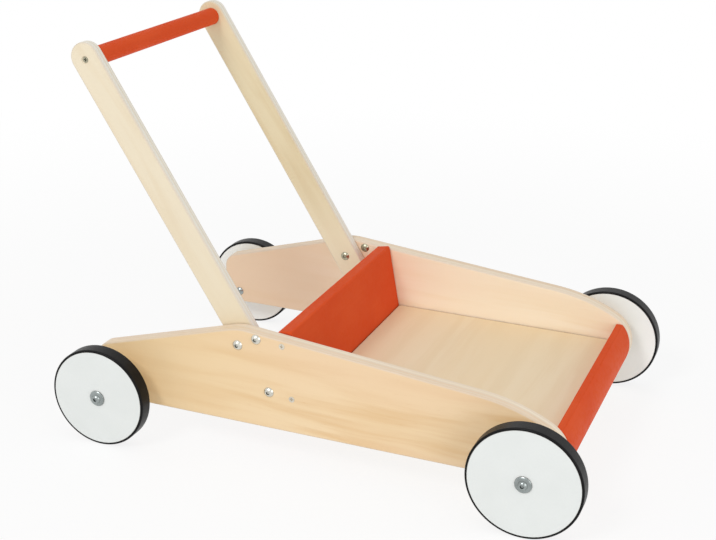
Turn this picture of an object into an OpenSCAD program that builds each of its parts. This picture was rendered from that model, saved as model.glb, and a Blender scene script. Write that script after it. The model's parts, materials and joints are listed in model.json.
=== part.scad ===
// Baby push walker: two plywood side panels carry a load tray, four wheels with rubber tyres
// and a handle of two leaning arms with a round bar. Millimetres, +X forward, +Y left, +Z up.
// The origin is on the ground, under the middle of the walker.

/* [Wheels] */
// Distance between the rear and the front axles
wheelbase = 500; // [440:5:560]
// Radius of the front wheel discs
front_disc_r = 60; // [52:0.5:70]
// Radius of the rear wheel discs
rear_disc_r = 56.2; // [50:0.1:66]
// Width of a wheel across its disc and tyre
wheel_w = 18; // [14:0.5:24]
// Thickness of the tyres outside the discs
tyre_wall = 2.5; // [2:0.1:5]
// Radius of the rounded tyre shoulders
tyre_shoulder_r = 1.8; // [0.5:0.1:1.9]
// Depth of the rim groove that holds the rib inside a tyre
rib_depth = 3; // [2:0.5:6]
// Width of the rib inside a tyre
rib_w = 6; // [4:0.5:8]
// Gap between a wheel and its side panel
wheel_gap = 19.5; // [10:0.5:30]
// Outer radius of the bushes in the wheel hubs
bush_r = 5; // [4.5:0.1:8]
// Outer radius of the spacers between wheels and panels
spacer_r = 8; // [6:0.5:12]

/* [Side panels] */
// Clear width between the two side panels
inner_w = 300; // [240:5:360]
// Thickness of the side panels
panel_t = 18; // [12:0.5:24]
// Depth of the lower panel edge below the front axle
panel_drop = 18.5; // [14:0.5:24]
// Reach of the panels behind the rear axle
rear_overhang = 21; // [16:1:40]
// Height of the panels at their rear end
rear_h = 63; // [50:1:75]
// Distance of the highest point of the panels from the rear axle
peak_x = 161; // [140:1:180]
// Height of the panels at their highest point
peak_h = 115; // [108:1:130]
// Slope of the top edge in front of the highest point, in degrees
front_fall = 5.6; // [3:0.1:7]
// Reach of the panel noses ahead of the front axle
nose_reach = 34.5; // [28:0.5:45]
// Radius of the panel noses
nose_r = 41; // [36:0.5:46]
// Height of the nose centres above the front axle
nose_rise = 10.6; // [6:0.2:14]
// Angle of the nose round at its upper end, in degrees
nose_top_angle = 62; // [50:1:70]
// Height above the lower edge where the nose round ends
nose_foot = 6; // [3:0.5:10]
// Radius of the upper rear corners
rear_corner_r = 18; // [8:1:24]
// Radius of the lower rear corners
rear_foot_r = 14; // [6:1:20]
// Radius of the round at the highest point
peak_round_r = 60; // [20:5:120]
// Radius of the lower front corners
nose_foot_r = 10; // [4:1:14]

/* [Load tray] */
// Height of the load floor above the lower panel edge
floor_h = 34; // [30:0.5:40]
// Thickness of the floor board
floor_t = 6; // [4:0.5:8]
// Thickness of the tongue round the floor board
tongue_t = 3; // [2:0.5:3.5]
// Depth of the grooves that hold the floor board
tongue_d = 5; // [3:0.5:7]
// Width of the open seam between the top of the floor board and the boards round it
floor_seam = 0.9; // [0.5:0.1:1.5]
// Thickness of the front board at its thickest
front_board_t = 18.5; // [14:0.5:22]
// Height of the front board's top above the lower panel edge
front_board_top = 56.5; // [50:0.5:62]
// Height of the front board's underside above the lower panel edge
front_board_low = 11.5; // [8:0.5:16]
// Height of the upper front board screws above the lower panel edge
board_screw_high = 47; // [42:0.5:50]
// Height of the lower front board screws above the lower panel edge
board_screw_low = 20; // [17:0.5:24]

/* [Partition] */
// Thickness of the partition
partition_t = 17.5; // [12:0.5:20]
// Lean of the partition to the rear, in degrees
partition_lean = 10.6; // [6:0.2:14]
// Reach of the partition above the arm pivot, along its own face
partition_top = 64; // [56:0.5:68]
// Reach of the partition below the arm pivot, along its own face
partition_low = 28; // [24:0.5:34]
// Radius of the eased top edges of the partition
partition_edge_r = 2.5; // [1:0.25:4]
// Height of the upper partition screws above the arm pivot
partition_screw_high = 54; // [44:0.5:57]
// Depth of the lower partition screws below the arm pivot
partition_screw_low = 8.5; // [6:0.5:11]
// Distance of the partition screws from its front face
partition_screw_in = 5; // [4:0.5:9]

/* [Handle] */
// Distance of the arm pivots from the rear axle
pivot_x = 198.6; // [180:0.2:220]
// Height of the arm pivots above the lower panel edge
pivot_h = 44.6; // [40:0.2:50]
// Distance of the arm pivots ahead of the middle line of the arms
pivot_ahead = 5; // [0:0.5:7]
// Lean of the arms to the rear, in degrees
arm_lean = 32.2; // [28:0.1:36]
// Distance from the arm pivots to the handle bar, along the arms
arm_len = 412; // [340:1:480]
// Width of the arms
arm_w = 34.5; // [28:0.5:38]
// Thickness of the arms
arm_t = 12.5; // [10:0.5:18]
// Height of the round of the arm feet above the pivots, along the arms
foot_rise = 4; // [0:0.5:6]
// Height of the round of the arm heads above the handle bar, along the arms
head_rise = 2; // [0:0.5:6]
// Radius of the handle bar
bar_r = 10.5; // [9:0.5:14]
// Distance from the arm pivots to the setting bolts, along the arms
setting_up = 62.4; // [58:0.2:66]
// Turn of the handle between its two settings, in degrees
setting_turn = 23; // [22:0.2:29]

/* [Fasteners] */
// Radius of the bolt shanks
bolt_r = 3; // [2.5:0.1:3.2]
// Radius of the domed heads of the panel bolts
panel_head_r = 6; // [5:0.25:6.5]
// Radius of the domed heads of the axle bolts
axle_head_r = 5.25; // [4.5:0.25:6.25]
// Height of the domed bolt heads
head_h = 3.3; // [2.5:0.1:4]
// Width across the flats of the sockets in bolts and nuts
socket_af = 4; // [3:0.5:5]
// Depth of the sockets in the bolt heads
socket_d = 1.8; // [1:0.1:2.2]
// Radius of the domed washers outside the wheels
hub_washer_r = 9.25; // [8.75:0.25:12]
// Thickness of the domed washers at their middle
hub_washer_t = 2.2; // [1.6:0.1:2.4]
// Thickness of the domed washers at their rims
hub_washer_rim = 0.6; // [0.4:0.1:1]
// Radius of the domed heads of the sleeve nuts
nut_head_r = 5.75; // [5.5:0.25:6.5]
// Height of the domed heads of the sleeve nuts
nut_head_h = 2.8; // [2.4:0.1:3.2]
// Depth of the sockets in the sleeve nuts
nut_socket_d = 1.2; // [0.8:0.1:1.4]
// Radius of the sleeves of the nuts
nut_sleeve_r = 4; // [3.8:0.1:4.2]
// Length of the sleeves of the nuts
nut_sleeve_len = 8.5; // [7:0.5:9]
// Thread length that the sleeve nuts take
nut_depth = 6.5; // [5:0.5:6.5]
// Radius of the wood screw shanks
screw_r = 2; // [1.5:0.1:2.4]
// Radius of the sunk screw heads
screw_head_r = 3.5; // [3:0.1:4.5]
// Length of the wood screws
screw_len = 45; // [36:1:55]
// Length of the points of the wood screws
screw_point = 5; // [3:0.5:8]
// Radius of the tips of the wood screws
screw_tip_r = 0.4; // [0.2:0.1:0.8]
// Depth of the handle bar screws below the outer faces of the arms
bar_screw_sink = 0.9; // [0.4:0.1:2]
// Arm length of the crossed slots in the screw heads
slot_reach = 2; // [1.4:0.1:2.4]
// Width of the crossed slots
slot_w = 0.9; // [0.6:0.1:1.2]
// Depth of the crossed slots
slot_d = 1.2; // [0.8:0.1:1.8]

/* [Clearances] */
// Radial room of a wheel bush on its axle bolt
run_play = 0.05; // [0.02:0.01:0.09]
// Side room of a wheel between its spacer and its washer
end_play = 0.3; // [0.2:0.05:0.6]
// Radial room of the bolts and sleeves in panels, arms, washers and spacers
hole_play = 0.2; // [0.1:0.05:0.5]
// Radial room of the bolts in the sleeve nuts
thread_play = 0.05; // [0.02:0.01:0.1]
// Room between a bush and its disc, and a tyre and its disc
seat_play = 0.05; // [0.02:0.01:0.1]
// Room round the wood screws
screw_play = 0.1; // [0.05:0.05:0.3]
// Room round the sunk heads of the handle bar screws
bar_screw_room = 0.8; // [0.3:0.1:1.5]
// Room round the tongue of the floor board
floor_play = 0.2; // [0.1:0.05:0.5]
// Room between the partition and the arms, in both settings of the handle
partition_play = 0.3; // [0.2:0.1:2]

/* [Hidden] */

// Overshoot of cuts past the faces that they open, and overlap of forms that grow together
over = 1;
// Largest share of a straight edge that a fillet takes
fillet_share = 0.95;
// Angle between the points of rounded outlines, in degrees
arc_step = 4;
// Facets of round solids
$fn = 64;

front_tyre_r = front_disc_r + tyre_wall;
rear_tyre_r = rear_disc_r + tyre_wall;
rear_x = -(wheelbase + front_tyre_r - rear_tyre_r) / 2;
front_x = rear_x + wheelbase;
inner_y = inner_w / 2;
outer_y = inner_y + panel_t;
wheel_y = outer_y + wheel_gap;
panel_z = front_tyre_r - panel_drop;
front_axle = [front_x, front_tyre_r];
rear_axle = [rear_x, rear_tyre_r];

nose_front_x = front_x + nose_reach;
nose_c = [nose_front_x - nose_r, front_tyre_r + nose_rise];
nose_foot_angle = asin((panel_z + nose_foot - nose_c[1]) / nose_r);

pivot = [rear_x + pivot_x, panel_z + pivot_h];
upright_lean = arm_lean - setting_turn;
setting_bolt = turned(arm_lean, [-pivot_ahead, setting_up]);
spare_bolt = turned(upright_lean, [-pivot_ahead, setting_up]);
bar_axis = turned(arm_lean, [-pivot_ahead, arm_len]);

// The arms come nearest to the partition with their feet, or with their front edges when upright
foot_reach = max(foot_ahead(arm_lean), foot_ahead(upright_lean));
edge_reach = edge_ahead(partition_lean - upright_lean);
partition_rear = max(foot_reach, edge_reach) + partition_play;
partition_front = partition_rear + partition_t;
partition_screw_x = partition_front - partition_screw_in;
partition_screw_points = [
    for (z = [-partition_screw_low, partition_screw_high])
        turned(partition_lean, [partition_screw_x, z])
];

floor_top_z = panel_z + floor_h;
floor_low_z = floor_top_z - floor_t;
floor_rear_x = partition_front_x(floor_low_z) + floor_play;
board_rear_x = nose_front_x - front_board_t;
floor_front_x = board_rear_x - floor_play;
board_screw_x = board_rear_x + front_board_t / 2;
board_screw_points = [
    for (z = [board_screw_low, board_screw_high])
        [board_screw_x, panel_z + z]
];

hub_stack = wheel_gap + wheel_w + end_play;

// Side view point p of something that leans to the rear about the arm pivots, in walker x and z
function turned(lean, p) =
    pivot + [p[0] * cos(lean) - p[1] * sin(lean), p[0] * sin(lean) + p[1] * cos(lean)];

// Reach of the arm feet ahead of the pivots, square to the partition, at a lean of the arms
function foot_ahead(lean) =
    (turned(lean - partition_lean, [-pivot_ahead, foot_rise]) - pivot)[0] + arm_w / 2;

// Reach of arms tilted forward of the partition at its eased top edge, square to the partition
function edge_ahead(tilt) =
    (arm_w / 2 - pivot_ahead + partition_edge_r + (partition_top - partition_edge_r) * sin(tilt))
    / cos(tilt) - partition_edge_r;

// Place of the partition's front face at a height
function partition_front_x(z) =
    pivot[0] + (partition_front - (z - pivot[1]) * sin(partition_lean)) / cos(partition_lean);

function unit(v) = v / norm(v);
function cross2(a, b) = a[0] * b[1] - a[1] * b[0];

// Where the line through p along d meets the line through q along e
function line_meet(p, d, q, e) = p + d * cross2(q - p, e) / cross2(d, e);

// Points of an arc from angle a0 to a1
function arc(c, r, a0, a1) =
    let (n = max(2, ceil(abs(a1 - a0) / arc_step)))
    [for (i = [0 : n]) c + r * [cos(a0 + (a1 - a0) * i / n), sin(a0 + (a1 - a0) * i / n)]];

// Points that round the corner p between its neighbours a and b
function corner_arc(a, p, b, r) =
    let (
        da = unit(a - p),
        db = unit(b - p),
        half = acos(da * db) / 2,
        c = p + unit(da + db) * r / sin(half),
        start = p + da * r / tan(half) - c,
        end = p + db * r / tan(half) - c,
        a0 = atan2(start[1], start[0]),
        turn = atan2(cross2(start, end), start * end)
    )
    arc(c, r, a0, a0 + turn);

// Outline through corners [x, z, radius]
function rounded(corners) =
    let (n = len(corners))
    [for (i = [0 : n - 1])
        let (
            a = corners[(i + n - 1) % n],
            p = corners[i],
            b = corners[(i + 1) % n]
        )
        each (p[2] > 0 ? corner_arc([a[0], a[1]], [p[0], p[1]], [b[0], b[1]], p[2]) : [[p[0], p[1]]])];

// Side view of a panel: rear end, sloping top with its highest point, long front curve and round nose
function panel_outline() =
    let (
        rear_end_x = rear_x - rear_overhang,
        peak = [rear_x + peak_x, panel_z + peak_h],
        fall_dir = [cos(front_fall), -sin(front_fall)],
        nose_top = nose_c + nose_r * [cos(nose_top_angle), sin(nose_top_angle)],
        nose_dir = [sin(nose_top_angle), -cos(nose_top_angle)],
        bend = line_meet(peak, fall_dir, nose_top, nose_dir),
        bend_r = norm(bend - nose_top) / tan((90 - nose_top_angle - front_fall) / 2),
        nose_low = nose_c + nose_r * [cos(nose_foot_angle), sin(nose_foot_angle)],
        toe_dir = [sin(nose_foot_angle), -cos(nose_foot_angle)],
        toe = line_meet(nose_low, toe_dir, [0, panel_z], [1, 0]),
        toe_room = norm(toe - nose_low) / tan((90 + nose_foot_angle) / 2),
        toe_r = min(nose_foot_r, fillet_share * toe_room),
        rear_low = [rear_end_x, panel_z],
        rear_top = [rear_end_x, panel_z + rear_h],
        nose_round = arc(nose_c, nose_r, nose_top_angle, nose_foot_angle)
    )
    concat(
        corner_arc(toe, rear_low, rear_top, rear_foot_r),
        corner_arc(rear_low, rear_top, peak, rear_corner_r),
        corner_arc(rear_top, peak, bend, peak_round_r),
        corner_arc(peak, bend, nose_top, bend_r),
        [for (i = [1 : len(nose_round) - 1]) nose_round[i]],
        corner_arc(nose_low, toe, rear_low, toe_r)
    );

// Side view outline as a slab from y0 over thickness t to the left
module slab(y0, t) {
    translate([0, y0 + t, 0])
        rotate([90, 0, 0])
            linear_extrude(t)
                children();
}

// Something on the right side, drawn with its own z axis pointing outwards from y
module outward(p, y) {
    translate([p[0], -y, p[1]])
        rotate([90, 0, 0])
            children();
}

module left() {
    mirror([0, 1, 0])
        children();
}

module both_sides() {
    children();
    left()
        children();
}

// Round hole through the right side, from y0 inwards of the panel to y1 outside it
module cross_hole(p, r, y0, y1) {
    outward(p, y0 - over)
        cylinder(r = r, h = y1 - y0 + 2 * over);
}

// Bore for the sleeve of a nut that seats on the plane y, on the inner side
module sleeve_bore(p, y) {
    outward(p, y - over)
        cylinder(r = nut_sleeve_r + hole_play, h = nut_sleeve_len + hole_play + over);
}

// Hole and sunk seat of a wood screw whose head is flush with the plane y
module screw_hole(p, y) {
    outward(p, y)
        translate([0, 0, -screw_len - over])
            cylinder(r = screw_r + screw_play, h = screw_len + 2 * over);
    outward(p, y)
        translate([0, 0, -screw_head_r + screw_r])
            cylinder(r1 = screw_r + screw_play, r2 = screw_head_r + screw_play, h = screw_head_r - screw_r);
}

// Hole of a handle bar screw, bored wider above its sunk head
module bar_screw_hole() {
    screw_hole(bar_axis, inner_y - bar_screw_sink);
    outward(bar_axis, inner_y - bar_screw_sink)
        cylinder(r = screw_head_r + bar_screw_room, h = bar_screw_sink + over);
}

// Wood screw with a sunk head at z = 0 and its point at z = -screw_len
module wood_screw() {
    sink = screw_head_r - screw_r;
    difference() {
        union() {
            translate([0, 0, -sink])
                cylinder(r1 = screw_r, r2 = screw_head_r, h = sink);
            translate([0, 0, screw_point - screw_len])
                cylinder(r = screw_r, h = screw_len - screw_point - sink);
            translate([0, 0, -screw_len])
                cylinder(r1 = screw_tip_r, r2 = screw_r, h = screw_point);
        }
        for (a = [0, 90])
            rotate([0, 0, a])
                translate([-slot_reach, -slot_w / 2, -slot_d])
                    cube([2 * slot_reach, slot_w, slot_d + over]);
    }
}

// Dome that stands on z = 0
module dome(r, h) {
    dome_r = (r * r + h * h) / (2 * h);
    intersection() {
        translate([0, 0, h - dome_r])
            sphere(r = dome_r);
        cylinder(r = r + over, h = h + over);
    }
}

// Six-sided socket that opens at a height
module socket(top, depth) {
    translate([0, 0, top - depth])
        cylinder(r = socket_af / 2 / cos(30), h = depth + over, $fn = 6);
}

// Bolt with a domed head on z = 0 and its shank below
module domed_bolt(head_r, shank) {
    difference() {
        union() {
            dome(head_r, head_h);
            translate([0, 0, -shank])
                cylinder(r = bolt_r, h = shank + over);
        }
        socket(head_h, socket_d);
    }
}

// Sleeve nut whose domed head seats on z = 0 from below, with its sleeve above
module sleeve_nut() {
    difference() {
        union() {
            rotate([180, 0, 0])
                dome(nut_head_r, nut_head_h);
            translate([0, 0, -over])
                cylinder(r = nut_sleeve_r, h = nut_sleeve_len + over);
        }
        cylinder(r = bolt_r + thread_play, h = nut_sleeve_len + over);
        rotate([180, 0, 0])
            socket(nut_head_h, nut_socket_d);
    }
}

// Ring from z = 0 upwards
module ring(r, hole_r, h) {
    difference() {
        cylinder(r = r, h = h);
        translate([0, 0, -over])
            cylinder(r = hole_r, h = h + 2 * over);
    }
}

// Right side panel with its bolt holes, screw holes and the groove for the floor board
module side_panel() {
    bolt_hole_r = bolt_r + hole_play;
    color([0.91, 0.79, 0.60])
    difference() {
        slab(-outer_y, panel_t)
            polygon(panel_outline());
        for (p = [rear_axle, front_axle, pivot, setting_bolt, spare_bolt])
            cross_hole(p, bolt_hole_r, inner_y, outer_y);
        for (p = [rear_axle, front_axle, spare_bolt])
            sleeve_bore(p, inner_y);
        for (p = concat(partition_screw_points, board_screw_points))
            screw_hole(p, outer_y);
        floor_groove();
    }
}

// Room for the tongue of the floor board in all four boards round it
module floor_groove() {
    reach = tongue_d + floor_play;
    translate([floor_rear_x - reach, -inner_y - reach, floor_low_z - floor_play])
        cube([floor_front_x - floor_rear_x + 2 * reach, inner_w + 2 * reach, tongue_t + 2 * floor_play]);
}

module right_side_panel() {
    side_panel();
}

module left_side_panel() {
    left()
        side_panel();
}

// Load floor with a thinner tongue along its four edges and an open seam round its top
module floor_board() {
    tongue_len = floor_front_x - floor_rear_x + 2 * tongue_d;
    tongue_w = inner_w - 2 * floor_play + 2 * tongue_d;
    top_len = board_rear_x - floor_seam - floor_rear_x;
    top_w = inner_w - 2 * floor_seam;
    color([0.86, 0.79, 0.66])
    union() {
        translate([floor_rear_x, -top_w / 2, floor_low_z])
            cube([top_len, top_w, floor_t]);
        translate([floor_rear_x - tongue_d, -tongue_w / 2, floor_low_z])
            cube([tongue_len, tongue_w, tongue_t]);
    }
}

// Leaning partition behind the load floor
module partition_board() {
    color([0.80, 0.31, 0.17])
    difference() {
        slab(-inner_y, inner_w)
            translate(pivot)
                rotate(partition_lean)
                    polygon(rounded([
                        [partition_rear, -partition_low, 0],
                        [partition_front, -partition_low, 0],
                        [partition_front, partition_top, partition_edge_r],
                        [partition_rear, partition_top, partition_edge_r]
                    ]));
        floor_groove();
        both_sides()
            for (p = partition_screw_points)
                screw_hole(p, outer_y);
    }
}

// Front board whose front face follows the panel noses
module front_board() {
    color([0.80, 0.31, 0.17])
    difference() {
        slab(-inner_y, inner_w)
            intersection() {
                translate([board_rear_x, panel_z + front_board_low])
                    square([front_board_t + over, front_board_top - front_board_low]);
                translate(nose_c)
                    circle(r = nose_r);
            }
        floor_groove();
        both_sides()
            for (p = board_screw_points)
                screw_hole(p, outer_y);
    }
}

// Right handle arm, a slat with round ends inside the side panel
module handle_arm() {
    half = arm_w / 2;
    color([0.93, 0.87, 0.76])
    difference() {
        slab(-inner_y, arm_t)
            translate(pivot)
                rotate(arm_lean)
                    translate([-pivot_ahead, 0])
                        polygon(concat(
                            arc([0, foot_rise], half, 180, 360),
                            arc([0, arm_len + head_rise], half, 0, 180)
                        ));
        for (p = [pivot, setting_bolt]) {
            cross_hole(p, bolt_r + hole_play, inner_y - arm_t, inner_y);
            sleeve_bore(p, inner_y - arm_t);
        }
        bar_screw_hole();
    }
}

module right_handle_arm() {
    handle_arm();
}

module left_handle_arm() {
    left()
        handle_arm();
}

// Round bar between the arms, drilled at both ends for its screws
module handle_bar() {
    length = inner_w - 2 * arm_t;
    color([0.80, 0.31, 0.17])
    difference() {
        outward(bar_axis, -length / 2)
            cylinder(r = bar_r, h = length);
        both_sides()
            bar_screw_hole();
    }
}

module steel() {
    color([0.72, 0.74, 0.75])
        children();
}

module partition_screws() {
    steel()
        both_sides()
            for (p = partition_screw_points)
                outward(p, outer_y)
                    wood_screw();
}

module front_board_screws() {
    steel()
        both_sides()
            for (p = board_screw_points)
                outward(p, outer_y)
                    wood_screw();
}

module handle_bar_screws() {
    steel()
        both_sides()
            outward(bar_axis, inner_y - bar_screw_sink)
                wood_screw();
}

// Bolts through both panels at a point of the side view, and through what lies grip deep inside them
module panel_bolts(p, grip) {
    steel()
        both_sides()
            outward(p, outer_y)
                domed_bolt(panel_head_r, panel_t + grip - nut_sleeve_len + nut_depth);
}

module sleeve_nuts(p, grip) {
    steel()
        both_sides()
            outward(p, inner_y - grip)
                sleeve_nut();
}

module arm_pivot_bolts() {
    panel_bolts(pivot, arm_t);
}

module arm_pivot_nuts() {
    sleeve_nuts(pivot, arm_t);
}

module arm_setting_bolts() {
    panel_bolts(setting_bolt, arm_t);
}

module arm_setting_nuts() {
    sleeve_nuts(setting_bolt, arm_t);
}

// Bolts kept in the holes for the more upright handle, in front of the arms
module spare_setting_bolts() {
    panel_bolts(spare_bolt, 0);
}

module spare_setting_nuts() {
    sleeve_nuts(spare_bolt, 0);
}

// Bolt that carries a wheel on the right side, at axle point p
module axle_bolt(p) {
    steel()
        outward(p, outer_y + hub_stack + hub_washer_t)
            domed_bolt(axle_head_r, hub_washer_t + hub_stack + panel_t - nut_sleeve_len + nut_depth);
}

// Domed washer of a wheel, with a flat seat for the bolt head and a thin rim
module hub_washer(p) {
    hole_r = bolt_r + hole_play;
    fall = hub_washer_t - hub_washer_rim;
    reach = hub_washer_r - axle_head_r;
    dome_r = (reach * reach + fall * fall) / (2 * fall);
    dome_turn = asin(reach / dome_r);
    steel()
        outward(p, outer_y + hub_stack)
            rotate_extrude()
                polygon(concat(
                    [[hole_r, 0]],
                    [[hub_washer_r, 0]],
                    arc([axle_head_r, hub_washer_t - dome_r], dome_r, 90 - dome_turn, 90),
                    [[hole_r, hub_washer_t]]
                ));
}

module spacer(p) {
    color([0.86, 0.76, 0.58])
        outward(p, outer_y)
            ring(spacer_r, bolt_r + hole_play, wheel_gap - end_play);
}

module axle_nut(p) {
    steel()
        outward(p, inner_y)
            sleeve_nut();
}

// White disc with a rim groove and a hub bore
module disc(p, disc_r) {
    rib_low = (wheel_w - rib_w) / 2;
    groove_r = disc_r - rib_depth;
    color([0.93, 0.94, 0.93])
        outward(p, wheel_y)
            rotate_extrude()
                polygon([
                    [bush_r + seat_play, 0],
                    [disc_r, 0],
                    [disc_r, rib_low],
                    [groove_r, rib_low],
                    [groove_r, rib_low + rib_w],
                    [disc_r, rib_low + rib_w],
                    [disc_r, wheel_w],
                    [bush_r + seat_play, wheel_w]
                ]);
}

// Rubber tyre with rounded shoulders and a rib in the rim groove
module tyre(p, disc_r) {
    inner_r = disc_r + seat_play;
    rib_r = inner_r - rib_depth;
    rib_low = (wheel_w - rib_w) / 2 + seat_play;
    shoulder_c = disc_r + tyre_wall - tyre_shoulder_r;
    color([0.13, 0.13, 0.13])
        outward(p, wheel_y)
            rotate_extrude()
                polygon(concat(
                    [[inner_r, 0]],
                    arc([shoulder_c, tyre_shoulder_r], tyre_shoulder_r, -90, 0),
                    arc([shoulder_c, wheel_w - tyre_shoulder_r], tyre_shoulder_r, 0, 90),
                    [[inner_r, wheel_w]],
                    [[inner_r, wheel_w - rib_low]],
                    [[rib_r, wheel_w - rib_low]],
                    [[rib_r, rib_low]],
                    [[inner_r, rib_low]]
                ));
}

module bush(p) {
    color([0.80, 0.80, 0.78])
        outward(p, wheel_y)
            ring(bush_r, bolt_r + run_play, wheel_w);
}

right_side_panel();
left_side_panel();
floor_board();
partition_board();
front_board();
right_handle_arm();
left_handle_arm();
handle_bar();
partition_screws();
front_board_screws();
handle_bar_screws();
arm_pivot_bolts();
arm_pivot_nuts();
arm_setting_bolts();
arm_setting_nuts();
spare_setting_bolts();
spare_setting_nuts();
axle_bolt(front_axle);  // front_right_axle_bolt
left() axle_bolt(front_axle);  // front_left_axle_bolt
axle_bolt(rear_axle);  // rear_right_axle_bolt
left() axle_bolt(rear_axle);  // rear_left_axle_bolt
hub_washer(front_axle);  // front_right_hub_washer
left() hub_washer(front_axle);  // front_left_hub_washer
hub_washer(rear_axle);  // rear_right_hub_washer
left() hub_washer(rear_axle);  // rear_left_hub_washer
spacer(front_axle);  // front_right_spacer
left() spacer(front_axle);  // front_left_spacer
spacer(rear_axle);  // rear_right_spacer
left() spacer(rear_axle);  // rear_left_spacer
axle_nut(front_axle);  // front_right_axle_nut
left() axle_nut(front_axle);  // front_left_axle_nut
axle_nut(rear_axle);  // rear_right_axle_nut
left() axle_nut(rear_axle);  // rear_left_axle_nut
disc(front_axle, front_disc_r);  // front_right_disc
left() disc(front_axle, front_disc_r);  // front_left_disc
disc(rear_axle, rear_disc_r);  // rear_right_disc
left() disc(rear_axle, rear_disc_r);  // rear_left_disc
tyre(front_axle, front_disc_r);  // front_right_tyre
left() tyre(front_axle, front_disc_r);  // front_left_tyre
tyre(rear_axle, rear_disc_r);  // rear_right_tyre
left() tyre(rear_axle, rear_disc_r);  // rear_left_tyre
bush(front_axle);  // front_right_bush
left() bush(front_axle);  // front_left_bush
bush(rear_axle);  // rear_right_bush
left() bush(rear_axle);  // rear_left_bush
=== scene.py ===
"""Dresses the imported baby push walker: plywood, paint, zinc and rubber, on a pale studio floor."""

import json
import math

import bmesh
import bpy
from bpy.props import FloatProperty, FloatVectorProperty, IntProperty, PointerProperty
from mathutils import Matrix, Vector

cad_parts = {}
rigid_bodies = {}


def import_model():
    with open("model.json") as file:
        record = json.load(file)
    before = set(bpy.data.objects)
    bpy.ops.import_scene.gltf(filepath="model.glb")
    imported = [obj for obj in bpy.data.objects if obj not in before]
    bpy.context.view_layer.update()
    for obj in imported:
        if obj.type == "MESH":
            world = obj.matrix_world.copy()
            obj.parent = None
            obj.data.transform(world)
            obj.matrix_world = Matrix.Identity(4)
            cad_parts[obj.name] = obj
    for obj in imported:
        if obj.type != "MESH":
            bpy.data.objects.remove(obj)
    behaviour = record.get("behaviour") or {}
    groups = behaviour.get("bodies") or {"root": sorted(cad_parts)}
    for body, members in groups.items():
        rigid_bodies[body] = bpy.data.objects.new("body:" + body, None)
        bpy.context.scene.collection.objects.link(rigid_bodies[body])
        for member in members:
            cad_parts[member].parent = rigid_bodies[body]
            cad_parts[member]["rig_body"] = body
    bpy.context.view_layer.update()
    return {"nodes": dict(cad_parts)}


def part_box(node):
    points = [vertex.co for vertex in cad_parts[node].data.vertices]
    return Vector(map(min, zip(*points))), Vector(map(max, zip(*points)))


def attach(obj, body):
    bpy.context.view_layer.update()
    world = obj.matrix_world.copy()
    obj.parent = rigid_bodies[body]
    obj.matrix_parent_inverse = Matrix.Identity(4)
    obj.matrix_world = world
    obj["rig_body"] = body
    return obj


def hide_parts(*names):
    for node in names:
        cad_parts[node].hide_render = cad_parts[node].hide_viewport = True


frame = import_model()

bl_info = {
    "name": "Baby push walker",
    "version": (1, 0, 0),
    "blender": (4, 5, 0),
    "location": "View3D > Sidebar > Walker",
    "description": "Dresses the packed walker with eased timber, paint, zinc and rubber",
    "category": "Object",
}

# Like pieces, by the words that their names start with
SIDES = ["right", "left"]
CORNERS = ["front_right", "front_left", "rear_right", "rear_left"]

# Where the pieces sit, read from the frame
PANEL_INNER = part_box("left_side_panel")[0].y
PANEL_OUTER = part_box("left_side_panel")[1].y
ARM_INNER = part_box("left_handle_arm")[0].y
ARM_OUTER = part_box("left_handle_arm")[1].y
WHEEL_MIDDLE = sum(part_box("front_left_disc"), Vector()).y / 2
WHEEL_HALF = (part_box("front_left_disc")[1].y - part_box("front_left_disc")[0].y) / 2
BAR_MIDDLE = sum(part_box("handle_bar"), Vector()) / 2
PIVOT_MIDDLE = sum(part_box("arm_pivot_bolts"), Vector()) / 2

# Turns that lay a board's grain along the texture's first axis
ALONG = (0, 0, 0)
ACROSS = (0, 0, math.radians(90))
UP_ARM = (0, math.atan2(BAR_MIDDLE.z - PIVOT_MIDDLE.z, BAR_MIDDLE.x - PIVOT_MIDDLE.x), 0)

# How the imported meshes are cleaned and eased
WELD = 2e-6
FLAT_ANGLE = math.radians(0.2)
ARRIS_ANGLE = math.radians(30)
SHARP_ANGLE = math.radians(35)
OUTSIDE_SLACK = 2e-5
WOOD_SEGMENTS = 3
FINE_SEGMENTS = 2

# Texture scales of the veneer, along its grain and twice across it
WANDER_SCALE = (3.0, 14, 14)
BROAD_SCALE = (5, 62, 62)
LINE_SCALE = (5, 300, 300)
FIBRE_SCALE = (40, 1700, 1700)
PORE_SCALE = (75, 1150, 1150)
ZONE_SCALE = (2.2, 11, 11)

# How far the veneer's grain wanders, and what its streaks, lines, fibres, zones and pores add to its tone
WANDER_REACH = 0.045
BROAD_SHARE = 0.74
LINE_SHARE = 0.14
FIBRE_SHARE = 0.08
ZONE_SHARE = 0.75
PORE_SHARE = 0.35
PORE_DARKNESS = 0.5
TIMBER_ROUGHNESS = (0.42, 0.58)

# What lines, fibres and pores add to the veneer's relief
LINE_RIDGE = 0.4
FIBRE_RIDGE = 0.6
PORE_PIT = 0.5

# Texture scales of the plywood edges, and how far their layers wander and show
RAGGED_SCALE = (70, 70, 70)
FLECK_SCALE = (420, 1900, 420)
RAGGED_REACH = 0.10
LAYER_SHARE = 0.45
GLUE_SHARE = 0.22
FLECK_SHARE = 0.25

# Texture scales of the paint, and how much its mottle, the grain under it and its wear show
CLOUD_SCALE = (14, 22, 22)
PEEL_SCALE = (520, 520, 520)
COVERED_GRAIN_SCALE = (9, 420, 420)
SCUFF_SCALE = (160, 160, 160)
MOTTLE_SHARE = 0.16
COVERED_GRAIN_SHARE = 0.35
WEAR_LEAST = 0.30
WEAR_BY_SCUFF = 0.45
PAINT_ROUGHNESS = (0.42, 0.56)

# What the spray's peel and the grain under it add to the paint's relief
PEEL_RIDGE = 0.45
COVERED_GRAIN_RIDGE = 0.55

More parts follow.
